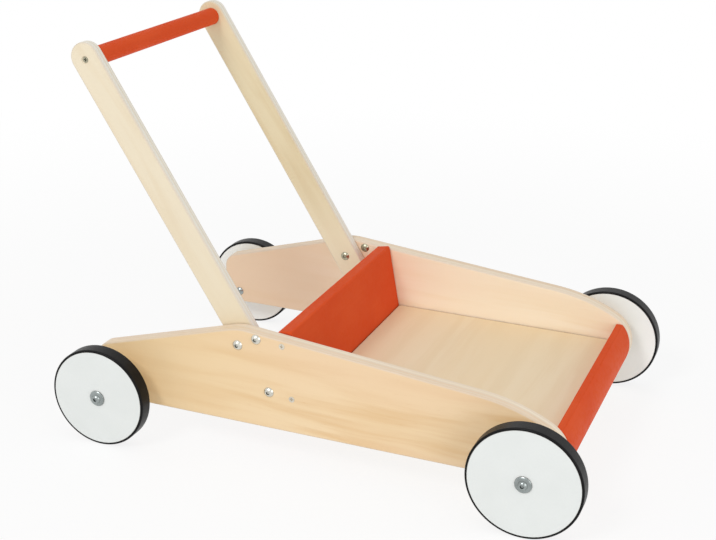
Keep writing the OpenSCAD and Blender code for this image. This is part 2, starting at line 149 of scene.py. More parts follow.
# Texture scales of a speckle's fine grain and of its patches
GRIT_SCALE = (1, 1, 1)
PATCH_SCALE = (0.09, 0.09, 0.09)

# Rays that look for the joints round a point
JOINT_SAMPLES = 8

# Axis, start, end and greatest share of the turn from the panels' rear tones, whose inner one is painted
# shadow, and from the arms' low tones, whose inner one is painted light
PANEL_FADE = ("X", -0.20, 0.02, 0.75)
ARM_FADE = ("Z", 0.12, 0.26, 0.90)

# How far the inner veneers' pattern is moved from the outer veneers'
INSIDE_SHIFT = (0.37, 0.0, 0.21)

# Shares of a board's thickness between which its inner veneer gives way to the outer one
VENEER_TURN = (0.45, 0.55)

# How squarely a surface faces sideways where the layers start to show, and where only veneer shows
EDGE_FACING = (0.45, 0.90)

# Layers in the spacers, which are turned from solid wood
SPACER_LAYERS = 1

# Share of the greyish tone on the rubbed arrises: partly wear, partly painted shade where they turn from the
# light
RUBBED_AND_SHADED_SHARE = 0.55

# Share of a disc's half thickness over which the painted light on its inner face gives way to the outer paint
DISC_TURN = 0.5

# Shares of a tyre's half width where its dust starts to thin out and where it ends, and how thick it lies
DUST_BAND = (0.35, 0.95)
DUST_SHARES = (0.35, 0.85)

# Reach and weight of the painted shade in joints, and reach of the painted shade in sockets
TIMBER_JOINT = (0.003, 0.15)
FLOOR_JOINT = (0.006, 0.75)
PAINT_JOINT = (0.003, 0.35)
RECESS_SHADE_REACH = 0.0030

# Weight and roughness of the lacquer
TIMBER_COAT = (0.10, 0.30)
FLOOR_COAT = (0.08, 0.35)

# Strength and height of the fine relief
TIMBER_RELIEF = (0.35, 0.0004)
FLOOR_RELIEF = (0.30, 0.0004)
PAINT_RELIEF = (0.22, 0.0003)
ZINC_RELIEF = (0.12, 0.0001)
RUBBER_RELIEF = (0.15, 0.0002)
BUSH_RELIEF = (0.10, 0.0001)

# Specular levels of the satin paint and the rubber
PAINT_SPECULAR = 0.02
RUBBER_SPECULAR = 0.15

# Fineness, least and greatest roughness of the speckled finishes
SCREW_SPECKLE = (900.0, 0.42, 0.54)
BOLT_SPECKLE = (900.0, 0.18, 0.30)
NUT_SPECKLE = (900.0, 0.24, 0.36)
RUBBER_SPECKLE = (700.0, 0.32, 0.46)
BUSH_SPECKLE = (800.0, 0.38, 0.50)

# Share of painted shade in the sockets, slots and joints, and share of the dark tone in the dull patches
SCREW_RECESS_SHADE = 0.05
BOLT_RECESS_SHADE = 0.85
DULL_SHARE = 0.2

# Place, target and edge length of the soft lamps
KEY_LAMP = ((-0.9, -2.9, 2.9), (0.0, 0.0, 0.15), 1.1)
FILL_LAMP = ((2.0, -1.2, 0.8), (0.2, 0.0, 0.10), 1.4)

WHITE = (1, 1, 1)
FLOOR_SEGMENTS = 96

# Distance between nodes in the node editor
NODE_STEP = 190


def srgb(red, green, blue):
    """A colour as seen on screen, 0 to 255, as the linear colour that the shaders use."""
    shares = [level / 255 for level in (red, green, blue)]
    return tuple(s / 12.92 if s <= 0.04045 else ((s + 0.055) / 1.055) ** 2.4 for s in shares)


def colour(name, description, default):
    """A colour setting for the sidebar."""
    return FloatVectorProperty(
        name=name, description=description, subtype="COLOR", size=3, min=0, max=1, default=default
    )


def length(name, description, default):
    """A length setting for the sidebar, in metres."""
    return FloatProperty(
        name=name, description=description, subtype="DISTANCE", unit="LENGTH", min=0, default=default,
        precision=4,
    )


def angle(name, description, degrees):
    """An angle setting for the sidebar, given in degrees."""
    return FloatProperty(
        name=name, description=description, subtype="ANGLE", default=math.radians(degrees)
    )


def share(name, description, default):
    """A setting between 0 and 1 for the sidebar."""
    return FloatProperty(
        name=name, description=description, subtype="FACTOR", min=0, max=1, default=default
    )


def power(name, description, watts):
    """A lamp's power for the sidebar."""
    return FloatProperty(name=name, description=description, unit="POWER", min=0, default=watts)


class WALKER_PG_timber(bpy.types.PropertyGroup):
    """Lacquered plywood: panels, arms and floor"""

    panel_pale: colour("Panels, pale", "Pale streaks of the panels' outer veneer", srgb(240, 213, 172))
    panel_deep: colour("Panels, deep", "Deep streaks of the panels' outer veneer", srgb(227, 191, 142))
    panel_blush: colour("Panels, blush", "Pinkish zones of the panels' outer veneer", srgb(237, 205, 166))
    panel_rear: colour("Panels, rear", "The panels' outer veneer at its rear end", srgb(234, 204, 157))
    # The inner veneer is paler than the outer one, and its tones are lifted further as painted light, which
    # makes up for the light lost inside the tray
    inner_pale: colour("Inside, pale", "Pale streaks of the panels' inner veneer", srgb(253, 243, 221))
    inner_deep: colour("Inside, deep", "Deep streaks of the panels' inner veneer", srgb(247, 232, 202))
    inner_blush: colour("Inside, blush", "Pinkish zones of the panels' inner veneer", srgb(252, 237, 212))
    # Painted shadow: the inside of the panels darkens towards the rear, where the partition and the arms
    # shade it
    inner_rear_shadow: colour("Inside, rear", "Painted shadow on the panels' inner veneer at its rear end", srgb(224, 190, 156))
    panel_edge: colour("Panels, edges", "Layers on the panels' edges", srgb(236, 217, 193))
    arm_pale: colour("Arms, pale", "Pale streaks of the arms' outer veneer", srgb(234, 221, 195))
    arm_deep: colour("Arms, deep", "Deep streaks of the arms' outer veneer", srgb(229, 213, 184))
    arm_blush: colour("Arms, blush", "Warm zones of the arms' outer veneer", srgb(233, 218, 190))
    arm_low: colour("Arms, low", "The arms' outer veneer at its low end", srgb(233, 218, 188))
    arm_inner_pale: colour("Arms inside, pale", "Pale streaks of their inner veneer", srgb(228, 214, 178))
    arm_inner_deep: colour("Arms inside, deep", "Deep streaks of their inner veneer", srgb(218, 200, 160))
    arm_inner_blush: colour("Arms inside, blush", "Warm zones of their inner veneer", srgb(226, 209, 170))
    # Painted light: the arms' inner faces grow paler towards their low end, where the panels and the
    # partition shade them
    arm_inner_low_light: colour("Arms inside, low", "Painted light on their inner veneer at its low end", srgb(238, 229, 199))
    arm_edge: colour("Arms, edges", "Layers on the arms' edges", srgb(237, 234, 224))
    floor_pale: colour("Floor, pale", "Pale streaks of the load floor", srgb(240, 221, 187))
    floor_deep: colour("Floor, deep", "Deep streaks of the load floor", srgb(236, 215, 179))
    floor_blush: colour("Floor, blush", "Warm zones of the load floor", srgb(239, 217, 179))
    # Partly wear, partly painted shade: the arrises that turn from the light are greyed
    rubbed: colour("Rubbed arrises", "Greyish tone on the rubbed arrises: wear and painted shade", srgb(214, 200, 184))
    # Painted shade, laid into the joints by an occlusion mask
    joint: colour("Joints", "Shade in the joints between pieces", srgb(150, 105, 66))
    panel_layers: IntProperty(
        name="Panel layers", description="Layers in the panels' plywood", min=3, default=7
    )
    arm_layers: IntProperty(
        name="Arm layers", description="Layers in the arms' plywood", min=3, default=5
    )
    panel_ease: length("Panel easing", "Radius rubbed onto the panels' arrises", 0.0022)
    arm_ease: length("Arm easing", "Radius rubbed onto the arms' arrises", 0.0020)
    floor_ease: length("Floor easing", "Radius rubbed onto the floor's arrises", 0.0004)


class WALKER_PG_finish(bpy.types.PropertyGroup):
    """Paint, zinc, rubber and plastic"""

    orange: colour("Orange paint", "Partition, front board and handle bar", srgb(224, 89, 46))
    # Darker orange on the arrises: partly wear, partly painted shade where the rounded edges turn from the
    # light
    orange_arris: colour("Orange, arrises", "The orange on the arrises: wear and painted shade", srgb(212, 78, 38))
    white: colour("White paint", "Wheel discs", srgb(230, 233, 231))
    # Painted light: a paler white on the discs' inner faces, which lie in the panels' shade
    white_painted_light: colour("White, inside", "Wheel discs on their inner faces", srgb(243, 245, 243))
    white_arris: colour("White, arrises", "The white where the rims are scuffed", srgb(212, 211, 206))
    zinc: colour("Zinc", "Bolts in the panels", srgb(216, 214, 204))
    nut_zinc: colour("Nut zinc", "Yellowed zinc of sleeve nuts and bar screws", srgb(176, 172, 150))
    axle_zinc: colour("Axle zinc", "Axle bolts, their nuts and hub washers", srgb(156, 163, 162))
    screw_zinc: colour("Screw zinc", "Sunk wood screws", srgb(226, 219, 204))
    # Painted shade: this dark grey is laid into sockets, slots and joints, and it also tints the dull patches
    zinc_grime_and_shade: colour("Zinc grime", "Dull patches, and painted shade in sockets, slots and joints", srgb(46, 46, 46))
    rubber: colour("Rubber", "Tyres", srgb(10, 10, 11))
    rubber_dust: colour("Rubber dust", "Dust on the tyres' treads", srgb(30, 29, 28))
    bush: colour("Bush plastic", "Bushes in the wheel hubs", srgb(206, 206, 200))
    bush_worn: colour("Bush plastic, worn", "Bushes where they are handled", srgb(190, 190, 184))
    board_ease: length("Board easing", "Radius rubbed onto the painted boards", 0.0012)
    disc_ease: length("Disc easing", "Radius rubbed onto the wheel discs' rims", 0.0008)
    metal_ease: length("Metal easing", "Radius on the edges of bolts and nuts", 0.00022)


class WALKER_PG_stage(bpy.types.PropertyGroup):
    """Camera, floor and lamps"""

    camera_place: FloatVectorProperty(
        name="Camera place", description="Where the camera stands", subtype="TRANSLATION", unit="LENGTH",
        default=(0.5270, -1.3463, 0.7410),
    )
    camera_azimuth: angle("Camera azimuth", "How far round from the side the camera stands", 22.00)
    camera_elevation: angle("Camera elevation", "How far down the camera looks", 21.14)
    camera_roll: angle("Camera roll", "How far the camera is tipped to one side", 0.72)
    camera_lens: FloatProperty(
        name="Lens", description="Focal length of the camera", subtype="DISTANCE_CAMERA", default=66.48
    )
    floor_colour: colour("Floor", "The studio floor", (0.92, 0.92, 0.92))
    floor_reach: length("Floor reach", "How far the studio floor runs out", 9.0)
    shadow_near: length("Shadow, near", "The floor takes the full shadow out to here", 0.35)
    shadow_far: length("Shadow, far", "The floor is plain white from here", 1.60)
    floor_lift: share("Floor lift", "Plain white in the floor that is seen near the walker", 0.84)
    floor_glow: share("Floor glow", "Plain white that the floor throws back", 0.45)
    sky_level: share("Sky level", "Light from all round", 0.62)
    key_power: power("Key power", "Large lamp at the upper left", 48)
    fill_power: power("Fill power", "Lamp in front of the nose", 10)


class NodeBench:
    """Places and joins the nodes of one tree."""

    def __init__(self, tree):
        self.tree = tree
        tree.nodes.clear()

    def add(self, kind, feeds=None, **settings):
        """A new node with its settings made and its inputs fed."""
        node = self.tree.nodes.new(kind)
        node.location.x = NODE_STEP * len(self.tree.nodes)
        for name, value in settings.items():
            setattr(node, name, value)
        for socket, value in (feeds or {}).items():
            self.feed(node.inputs[socket], value)
        return node

    def feed(self, socket, value):
        """Joins an output to a socket, or sets the socket's own value."""
        if isinstance(value, bpy.types.NodeSocket):
            self.tree.links.new(value, socket)
        elif socket.type == "RGBA":
            socket.default_value = (*value, 1)
        else:
            socket.default_value = value

    def place(self, group, feeds):
        """Puts a shared node group into this tree and returns its outputs."""
        return self.add("ShaderNodeGroup", feeds, node_tree=bpy.data.node_groups[group]).outputs

    def reckon(self, operation, first, second=0.0):
        """A sum, a product or the like of two values."""
        return self.add("ShaderNodeMath", {0: first, 1: second}, operation=operation).outputs[0]

    def vector(self, operation, first, second):
        """A sum or a product of two vectors."""
        return self.add("ShaderNodeVectorMath", {0: first, 1: second}, operation=operation).outputs[0]

    def noise(self, vector, scale, detail, roughness=0.5):
        """Noise in a space that is stretched by a scale."""
        stretched = self.vector("MULTIPLY", vector, scale)
        feeds = {"Vector": stretched, "Scale": 1.0, "Detail": detail, "Roughness": roughness}
        return self.add("ShaderNodeTexNoise", feeds).outputs[0]

    def ramp(self, value, low, high, to_low=0.0, to_high=1.0):
        """Eases a value between two limits into a value between two others."""
        feeds = {"Value": value, "From Min": low, "From Max": high, "To Min": to_low, "To Max": to_high}
        return self.add("ShaderNodeMapRange", feeds, interpolation_type="SMOOTHSTEP").outputs[0]

    def mix(self, factor, first, second, kind="MIX"):
        """A blend of two colours."""
        feeds = {0: factor, 6: first, 7: second}
        return self.add("ShaderNodeMix", feeds, data_type="RGBA", blend_type=kind).outputs[2]

    def coords(self):
        """The piece's own coordinates and normals."""
        return self.add("ShaderNodeTexCoord").outputs

    def part(self, vector, axis):
        """One coordinate of a vector."""
        return self.add("ShaderNodeSeparateXYZ", {0: vector}).outputs[axis]

    def from_middle(self):
        """Distance of a point from the walker's middle plane."""
        return self.reckon("ABSOLUTE", self.part(self.coords()["Object"], "Y"))


def new_group(name, takes, gives):
    """An empty shader node group with named sockets: its bench, what it takes and what it gives."""
    tree = bpy.data.node_groups.new(name, "ShaderNodeTree")
    for label, kind in takes:
        tree.interface.new_socket(name=label, in_out="INPUT", socket_type="NodeSocket" + kind)
    for label, kind in gives:
        tree.interface.new_socket(name=label, in_out="OUTPUT", socket_type="NodeSocket" + kind)
    bench = NodeBench(tree)
    return bench, bench.add("NodeGroupInput").outputs, bench.add("NodeGroupOutput").inputs


def make_timber_grain():
    """Veneer with its grain along X: broad streaks, fine lines, fibres and short pores."""
    bench, given, out = new_group(
        "Timber grain",
        [("Vector", "Vector"), ("Pale", "Color"), ("Deep", "Color"), ("Blush", "Color")],
        [("Color", "Color"), ("Roughness", "Float"), ("Height", "Float")],
    )
    wander = bench.noise(given["Vector"], WANDER_SCALE, 2)
    drift = bench.reckon("MULTIPLY", bench.reckon("SUBTRACT", wander, 0.5), WANDER_REACH)
    shift = bench.add("ShaderNodeCombineXYZ", {"Y": drift, "Z": drift}).outputs[0]
    plank = bench.vector("ADD", given["Vector"], shift)
    broad = bench.noise(plank, BROAD_SCALE, 2, 0.45)
    lines = bench.noise(plank, LINE_SCALE, 3)
    fibre = bench.noise(plank, FIBRE_SCALE, 2)
    pores = bench.ramp(bench.noise(plank, PORE_SCALE, 1), 0.68, 0.80)
    zones = bench.noise(plank, ZONE_SCALE, 2)
    streaks = bench.ramp(broad, 0.28, 0.74, 0, BROAD_SHARE)
    lined = bench.reckon("ADD", streaks, bench.ramp(lines, 0.30, 0.72, 0, LINE_SHARE))
    tone = bench.reckon("ADD", lined, bench.ramp(fibre, 0.25, 0.75, 0, FIBRE_SHARE))
    streaked = bench.mix(bench.ramp(tone, 0.10, 0.95), given["Pale"], given["Deep"])
    zoned = bench.mix(bench.ramp(zones, 0.42, 0.70, 0, ZONE_SHARE), streaked, given["Blush"])
    pored = bench.mix(PORE_DARKNESS, zoned, given["Deep"], "MULTIPLY")
    bench.feed(out["Color"], bench.mix(bench.reckon("MULTIPLY", pores, PORE_SHARE), zoned, pored))
    uneven = bench.reckon("ADD", tone, fibre)
    bench.feed(out["Roughness"], bench.ramp(uneven, 0.4, 1.3, *TIMBER_ROUGHNESS))
    line_ridge = bench.reckon("MULTIPLY", lines, LINE_RIDGE)
    ridge = bench.reckon("ADD", line_ridge, bench.reckon("MULTIPLY", fibre, FIBRE_RIDGE))
    pits = bench.reckon("MULTIPLY", pores, PORE_PIT)
    bench.feed(out["Height"], bench.reckon("SUBTRACT", ridge, pits))


def make_ply_edge():
    """Layers of a plywood edge laid over the veneer's colour. Across counts the layers between the faces."""
    bench, given, out = new_group(
        "Ply edge",
        [("Face", "Color"), ("Vector", "Vector"), ("Across", "Float"), ("Edge", "Float"), ("Layer", "Color")],
        [("Color", "Color")],
    )
    ragged = bench.noise(given["Vector"], RAGGED_SCALE, 2)
    across = bench.reckon("ADD", given["Across"], bench.ramp(ragged, 0.3, 0.7, -RAGGED_REACH, RAGGED_REACH))
    swing = bench.reckon("SINE", bench.reckon("MULTIPLY", across, math.pi))
    layer = bench.ramp(swing, -0.35, 0.35, 0, LAYER_SHARE)
    glue = bench.ramp(bench.reckon("ABSOLUTE", swing), 0.0, 0.20, GLUE_SHARE, 0)
    flecks = bench.noise(given["Vector"], FLECK_SCALE, 2)
    layered = bench.mix(layer, given["Layer"], given["Face"])
    flecked = bench.mix(bench.ramp(flecks, 0.40, 0.75, 0, FLECK_SHARE), layered, given["Face"])
    glued = bench.mix(glue, flecked, given["Face"], "MULTIPLY")
    bench.feed(out["Color"], bench.mix(given["Edge"], given["Face"], glued))


def make_paint_film():
    """Sprayed paint: a little mottle, the wood's grain telegraphing through, and the arris tone laid in
    scuffed patches on the arrises.
    """
    bench, given, out = new_group(
        "Paint film",
        [("Vector", "Vector"), ("Paint", "Color"), ("Arris tone", "Color"), ("Arris", "Float")],
        [("Color", "Color"), ("Roughness", "Float"), ("Height", "Float")],
    )
    cloud = bench.noise(given["Vector"], CLOUD_SCALE, 3)
    peel = bench.noise(given["Vector"], PEEL_SCALE, 2)
    grain = bench.noise(given["Vector"], COVERED_GRAIN_SCALE, 3)
    scuff = bench.ramp(bench.noise(given["Vector"], SCUFF_SCALE, 4, 0.65), 0.42, 0.66)
    wear = bench.reckon("ADD", bench.reckon("MULTIPLY", scuff, WEAR_BY_SCUFF), WEAR_LEAST)
    # The arris tone stands for wear, and on the orange partly for painted shade
    worn = bench.reckon("MULTIPLY", given["Arris"], wear)
    deep = bench.mix(MOTTLE_SHARE, given["Paint"], given["Paint"], "MULTIPLY")
    mottled = bench.mix(bench.ramp(cloud, 0.32, 0.70), given["Paint"], deep)
    grained = bench.mix(bench.ramp(grain, 0.40, 0.70, 0, COVERED_GRAIN_SHARE), mottled, deep)
    bench.feed(out["Color"], bench.mix(worn, grained, given["Arris tone"]))
    uneven = bench.reckon("ADD", cloud, scuff)
    bench.feed(out["Roughness"], bench.ramp(uneven, 0.4, 1.5, *PAINT_ROUGHNESS))
    peel_ridge = bench.reckon("MULTIPLY", peel, PEEL_RIDGE)
    grain_ridge = bench.reckon("MULTIPLY", grain, COVERED_GRAIN_RIDGE)
    bench.feed(out["Height"], bench.reckon("ADD", peel_ridge, grain_ridge))


def make_speckle():
    """Fine mottling between two values, with a height to match and broad patches."""
    bench, given, out = new_group(
        "Speckle",
        [("Vector", "Vector"), ("Fineness", "Float"), ("Low", "Float"), ("High", "Float")],
        [("Value", "Float"), ("Height", "Float"), ("Patches", "Float")],
    )
    feeds = {0: given["Vector"], "Scale": given["Fineness"]}
    scaled = bench.add("ShaderNodeVectorMath", feeds, operation="SCALE").outputs[0]
    fine = bench.noise(scaled, GRIT_SCALE, 4, 0.6)
    patches = bench.noise(scaled, PATCH_SCALE, 3, 0.6)
    bench.feed(out["Value"], bench.ramp(fine, 0.30, 0.70, given["Low"], given["High"]))
    bench.feed(out["Height"], fine)
    bench.feed(out["Patches"], bench.ramp(patches, 0.40, 0.68))


def make_joint_line():
    """An occlusion mask that is 1 deep in joints, sockets and slots, where shade falls; it places painted
    shade.
    """
    bench, given, out = new_group("Joint line", [("Reach", "Float")], [("Mask", "Float")])
    shade = bench.add("ShaderNodeAmbientOcclusion", {"Distance": given["Reach"]}, samples=JOINT_SAMPLES)
    bench.feed(out["Mask"], bench.ramp(shade.outputs["AO"], 0.35, 0.85, 1, 0))


def make_groups():
    """The shared effects, each built once."""
    for name, maker in {
        "Timber grain": make_timber_grain,
        "Ply edge": make_ply_edge,
        "Paint film": make_paint_film,
        "Speckle": make_speckle,
        "Joint line": make_joint_line,
    }.items():
        if name not in bpy.data.node_groups:
            maker()


def new_material(name, turn=ALONG):
    """A material with its shader joined up: its bench, the shader's inputs and the turned coordinates."""
    make_groups()
    material = bpy.data.materials.new(name)
    material.use_nodes = True
    bench = NodeBench(material.node_tree)
    surface = bench.add("ShaderNodeBsdfPrincipled")
    bench.add("ShaderNodeOutputMaterial", {"Surface": surface.outputs[0]})
    feeds = {"Vector": bench.coords()["Object"], "Rotation": turn}
    turned = bench.add("ShaderNodeMapping", feeds).outputs[0]
    return material, bench, surface.inputs, turned


def raise_relief(bench, surface, height, relief):
    """Raises the surface by a height, with a strength and a depth."""
    strength, depth = relief
    feeds = {"Height": height, "Strength": strength, "Distance": depth}
    bench.feed(surface["Normal"], bench.add("ShaderNodeBump", feeds).outputs[0])


def lacquer(surface, coat):
    """A clear coat with a weight and a roughness."""
    weight, roughness = coat
    surface["Coat Weight"].default_value = weight
    surface["Coat Roughness"].default_value = roughness


def arris_mask(bench):
    """1 along the rubbed arrises of a piece, from the mesh."""
    return bench.add("ShaderNodeAttribute", attribute_name="arris").outputs["Fac"]


def joint_shade(bench, tone, joint):
    """Paints shade along the lines where pieces meet, with a reach and a weight."""
    reach, weight = joint
    shade = tuple(bpy.context.scene.walker_timber.joint)
    mask = bench.place("Joint line", {"Reach": reach})["Mask"]
    return bench.mix(bench.reckon("MULTIPLY", mask, weight), tone, shade, "MULTIPLY")


def veneer(bench, vector, tones):
    """Grain in a pale, a deep and a blush tone."""
    pale, deep, blush = (tuple(tone) for tone in tones)
    return bench.place("Timber grain", {"Vector": vector, "Pale": pale, "Deep": deep, "Blush": blush})


def speckle(bench, vector, values):
    """Mottling with a fineness, a least and a greatest value."""
    fineness, low, high = values
    return bench.place("Speckle", {"Vector": vector, "Fineness": fineness, "Low": low, "High": high})


def plywood_material(name, turn, outside, inside, edge_tone, inner, outer, layers, fade=None):
    """Lacquered plywood: veneers on the faces at inner and outer, layers on the edges between them."""
    material, bench, surface, turned = new_material(name, turn)
    depth = bench.reckon("SUBTRACT", bench.from_middle(), inner)
    across = bench.reckon("MULTIPLY", depth, layers / (outer - inner))
    outward = bench.ramp(across, *(turn_share * layers for turn_share in VENEER_TURN))
    outer_grain = veneer(bench, turned, outside)
    inner_grain = veneer(bench, bench.vector("ADD", turned, INSIDE_SHIFT), inside)
    tone = bench.mix(outward, inner_grain["Color"], outer_grain["Color"])
    # The fade lays other tones towards one end of a board; on the panels' inner faces this is painted shadow,
    # on the arms' inner faces painted light
    if fade:
        (axis, start, end, most), outer_tone, inner_tone = fade
        faded = bench.ramp(bench.part(bench.coords()["Object"], axis), start, end, most, 0)
        tone = bench.mix(faded, tone, bench.mix(outward, tuple(inner_tone), tuple(outer_tone)))
    sideways = bench.reckon("ABSOLUTE", bench.part(bench.coords()["Normal"], "Y"))
    edge = bench.ramp(sideways, *EDGE_FACING, 1, 0)
    board = bench.place("Ply edge", {
        "Face": tone, "Vector": turned, "Across": across, "Edge": edge, "Layer": tuple(edge_tone),
    })
    # Greyish tone on the arrises: partly wear, partly painted shade
    rubbed = bench.reckon("MULTIPLY", arris_mask(bench), RUBBED_AND_SHADED_SHARE)
    worn = bench.mix(rubbed, board["Color"], tuple(bpy.context.scene.walker_timber.rubbed))
    bench.feed(surface["Base Color"], joint_shade(bench, worn, TIMBER_JOINT))
    bench.feed(surface["Roughness"], outer_grain["Roughness"])
    lacquer(surface, TIMBER_COAT)
    raise_relief(bench, surface, outer_grain["Height"], TIMBER_RELIEF)
    return material


def floor_material():
    """The load floor's veneer, whose grain runs across the walker."""
    timber = bpy.context.scene.walker_timber
    material, bench, surface, turned = new_material("load_floor_timber", ACROSS)
    grain = veneer(bench, turned, (timber.floor_pale, timber.floor_deep, timber.floor_blush))
    bench.feed(surface["Base Color"], joint_shade(bench, grain["Color"], FLOOR_JOINT))
    bench.feed(surface["Roughness"], grain["Roughness"])
    lacquer(surface, FLOOR_COAT)
    raise_relief(bench, surface, grain["Height"], FLOOR_RELIEF)
    return material


def paint_material(name, paint, arris, inner_face_light=None):
    """Painted wood with its grain across the walker. A wheel's inner face gets a paler white, which is
    painted light.
    """
    material, bench, surface, turned = new_material(name, ACROSS)
    coat = tuple(paint)
    # Painted light on the inner face of a wheel, towards the panel
    if inner_face_light:
        reach = DISC_TURN * WHEEL_HALF
        outward = bench.ramp(bench.from_middle(), WHEEL_MIDDLE - reach, WHEEL_MIDDLE + reach)
        coat = bench.mix(outward, tuple(inner_face_light), coat)
    film = bench.place("Paint film", {
        "Vector": turned, "Paint": coat, "Arris tone": tuple(arris), "Arris": arris_mask(bench),
    })
    bench.feed(surface["Base Color"], joint_shade(bench, film["Color"], PAINT_JOINT))
    bench.feed(surface["Roughness"], film["Roughness"])
    surface["Specular IOR Level"].default_value = PAINT_SPECULAR
    raise_relief(bench, surface, film["Height"], PAINT_RELIEF)
    return material


def zinc_material(name, zinc, mottling, recess_shade):
    """Zinc-plated steel, dull in patches, with painted shade in the sockets, slots and joints."""
    grime_and_shade = tuple(bpy.context.scene.walker_finish.zinc_grime_and_shade)
    material, bench, surface, turned = new_material(name)
    mottle = speckle(bench, turned, mottling)
    recess = bench.place("Joint line", {"Reach": RECESS_SHADE_REACH})
    dull = bench.mix(bench.reckon("MULTIPLY", mottle["Patches"], DULL_SHARE), tuple(zinc), grime_and_shade)
    # Painted shade: the dark grey goes where the occlusion mask finds sockets, slots and joints
    recess_shade_mask = bench.reckon("MULTIPLY", recess["Mask"], recess_shade)
    bench.feed(surface["Base Color"], bench.mix(recess_shade_mask, dull, grime_and_shade))
    bench.feed(surface["Roughness"], mottle["Value"])
    surface["Metallic"].default_value = 1.0
    raise_relief(bench, surface, mottle["Height"], ZINC_RELIEF)
    return material


def rubber_material():
    """Moulded rubber with dust on the tread's middle."""
    finish = bpy.context.scene.walker_finish
    material, bench, surface, turned = new_material("tyre_rubber")
    mottle = speckle(bench, turned, RUBBER_SPECKLE)
    aside = bench.reckon("ABSOLUTE", bench.reckon("SUBTRACT", bench.from_middle(), WHEEL_MIDDLE))
    tread = bench.ramp(aside, *(band * WHEEL_HALF for band in DUST_BAND), 1, 0)
    dusty = bench.reckon("MULTIPLY", tread, bench.ramp(mottle["Patches"], 0, 1, *DUST_SHARES))
    bench.feed(surface["Base Color"], bench.mix(dusty, tuple(finish.rubber), tuple(finish.rubber_dust)))
    bench.feed(surface["Roughness"], mottle["Value"])
    surface["Specular IOR Level"].default_value = RUBBER_SPECULAR
    raise_relief(bench, surface, mottle["Height"], RUBBER_RELIEF)
    return material


def bush_material():
    """Plain moulded plastic."""
    finish = bpy.context.scene.walker_finish
    material, bench, surface, turned = new_material("bush_plastic")
    mottle = speckle(bench, turned, BUSH_SPECKLE)
    plastic = bench.mix(mottle["Patches"], tuple(finish.bush), tuple(finish.bush_worn))
    bench.feed(surface["Base Color"], plastic)
    bench.feed(surface["Roughness"], mottle["Value"])
    raise_relief(bench, surface, mottle["Height"], BUSH_RELIEF)
    return material


def clean_solid(node):
    """A CAD node's mesh with its seams welded and its flat faces joined."""
    packed = frame["nodes"][node].data
    solid = bmesh.new()
    points = [solid.verts.new(v.co) for v in packed.vertices]
    for polygon in packed.polygons:
        solid.faces.new([points[i] for i in polygon.vertices])
    bmesh.ops.remove_doubles(solid, verts=solid.verts, dist=WELD)
    bmesh.ops.dissolve_limit(solid, angle_limit=FLAT_ANGLE, verts=solid.verts, edges=solid.edges)
    bmesh.ops.recalc_face_normals(solid, faces=solid.faces)
    solid.normal_update()
    return solid


def sharp_arrises(solid):
    """Every corner edge of a solid that turns outwards."""
    return [e for e in solid.edges if e.is_manifold and e.is_convex and e.calc_face_angle() > ARRIS_ANGLE]


def outer_arrises(solid):
    """The corner edges on a board's outside, without the rims of its holes and grooves."""
    points = [v.co for v in solid.verts]

    def outside(face):
        level = face.verts[0].co.dot(face.normal) + OUTSIDE_SLACK
        return all(p.dot(face.normal) <= level for p in points)

    on_outside = {face.index: outside(face) for face in solid.faces}
    return [e for e in sharp_arrises(solid) if all(on_outside[f.index] for f in e.link_faces)]


def ease(solid, arrises, radius, segments):
    """Rubs a radius onto the arrises and marks it for the materials."""
    solid.faces.ensure_lookup_table()
    made = bmesh.ops.bevel(
        solid, geom=arrises, offset=radius, offset_type="OFFSET", segments=segments, profile=0.5,
        affect="EDGES", clamp_overlap=False, loop_slide=False, material=-1,
    )
    rubbed = set(made["faces"])
    mark = solid.verts.layers.float.new("arris")
    for vert in {v for f in rubbed for v in f.verts}:
        vert[mark] = 1.0 if all(f in rubbed for f in vert.link_faces) else 0.0


def eased_piece(node, material, radius, find_arrises, segments=WOOD_SEGMENTS):
    """Makes a piece that stands for a CAD node, with its arrises rubbed round."""
    solid = clean_solid(node)
    solid.faces.index_update()
    ease(solid, find_arrises(solid), radius, segments)
    mesh = bpy.data.meshes.new(node + "_eased")
    solid.to_mesh(mesh)
    solid.free()
    mesh.shade_smooth()
    mesh.set_sharp_from_angle(angle=SHARP_ANGLE)
    mesh.materials.append(material)
    piece = bpy.data.objects.new(node + "_eased", mesh)
    bpy.context.scene.collection.objects.link(piece)
    flat = piece.modifiers.new("Flat faces", "WEIGHTED_NORMAL")
    flat.keep_sharp = True
    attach(piece, frame["nodes"][node]["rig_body"])
    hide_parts(node)


def refinish(node, material):
    """Gives a CAD node that keeps its shape a new material."""
    packed = frame["nodes"][node]
    packed.data.materials.clear()
    packed.data.materials.append(material)


class WALKER_OT_side_panels(bpy.types.Operator):
    """Make the two plywood side panels with eased arrises"""

    bl_idname = "walker.side_panels"
    bl_label = "Side panels"

    def execute(self, context):
        timber = context.scene.walker_timber
        material = plywood_material(
            "panel_timber", ALONG, (timber.panel_pale, timber.panel_deep, timber.panel_blush),
            (timber.inner_pale, timber.inner_deep, timber.inner_blush), timber.panel_edge,
            PANEL_INNER, PANEL_OUTER, timber.panel_layers,
            (PANEL_FADE, timber.panel_rear, timber.inner_rear_shadow),
        )
        for side in SIDES:
            eased_piece(side + "_side_panel", material, timber.panel_ease, outer_arrises)
        return {"FINISHED"}


class WALKER_OT_load_floor(bpy.types.Operator):
    """Make the load floor that sits in the panels' grooves"""

    bl_idname = "walker.load_floor"
    bl_label = "Load floor"

    def execute(self, context):
        radius = context.scene.walker_timber.floor_ease
        eased_piece("floor_board", floor_material(), radius, outer_arrises, FINE_SEGMENTS)
        return {"FINISHED"}


